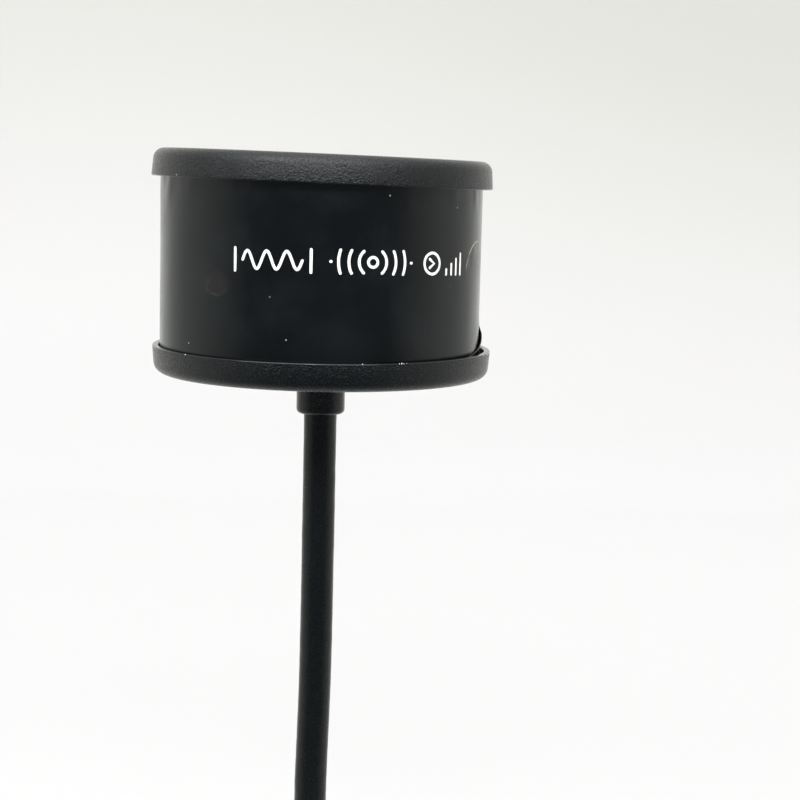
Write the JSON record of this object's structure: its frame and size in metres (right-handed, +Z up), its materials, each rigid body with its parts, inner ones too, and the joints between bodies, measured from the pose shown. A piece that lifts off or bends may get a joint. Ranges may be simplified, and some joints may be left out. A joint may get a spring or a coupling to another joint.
{
  "type": "antenna with coaxial mast",
  "caption": "Circularly polarised omnidirectional antenna: a round black radome on a straight stiff coaxial mast that ends in a screw-on coaxial plug.",
  "frame": {"origin": "on the mast's axis, in the reference plane of the coaxial plug", "axes": "+Z up the mast to the radome; -Y is the printed front; -Z points out of the plug, the way the mating jack leaves"},
  "size_m": [0.0639, 0.0636, 0.1624],
  "materials": {
    "cap_plastic": "moulded black, fine grain",
    "tube_plastic": "extruded black",
    "film": "satin black shrink film with white print",
    "grommet_rubber": "satin black",
    "sleeve_plastic": "black shrunk sleeve",
    "jacket_plastic": "black jacket",
    "shield_metal": "tinned",
    "dielectric_plastic": "white fluoropolymer",
    "conductor_metal": "silver plated",
    "board_laminate": "glass laminate",
    "board_copper": "rolled copper",
    "solder": "bright solder",
    "spacer_plastic": "natural white",
    "plated_body": "gold plated",
    "plated_nut": "gold plated",
    "ring_metal": "bright spring bronze",
    "gasket_rubber": "red silicone"
  },
  "bodies": {
    "antenna": {"top_cap": "cap_plastic", "bottom_cap": "cap_plastic", "radome_tube": "tube_plastic", "printed_film": "film", "mast_grommet": "grommet_rubber", "mast_sleeve": "sleeve_plastic", "coax_jacket": "jacket_plastic", "coax_shield": "shield_metal", "coax_dielectric": "dielectric_plastic", "coax_conductor": "conductor_metal", "lower_board": "board_laminate", "lower_ring_copper": "board_copper", "lower_solder": "solder", "lower_spacer": "spacer_plastic", "middle_board": "board_laminate", "middle_arms_copper": "board_copper", "middle_solder": "solder", "upper_spacer": "spacer_plastic", "upper_board": "board_laminate", "upper_arms_copper": "board_copper", "centre_solder": "solder", "plug_body": "plated_body", "plug_insulator": "dielectric_plastic", "contact_pin": "plated_body", "plug_gasket": "gasket_rubber", "retaining_ring": "ring_metal"},
    "nut": {"coupling_nut": "plated_nut"}
  },
  "joints": [
    {"name": "nut_spin", "type": "hinge", "parent": "antenna", "child": "nut", "pos_m": [0, 0, 0.001], "axis": [0, 0, 1], "continuous": true}
  ]
}
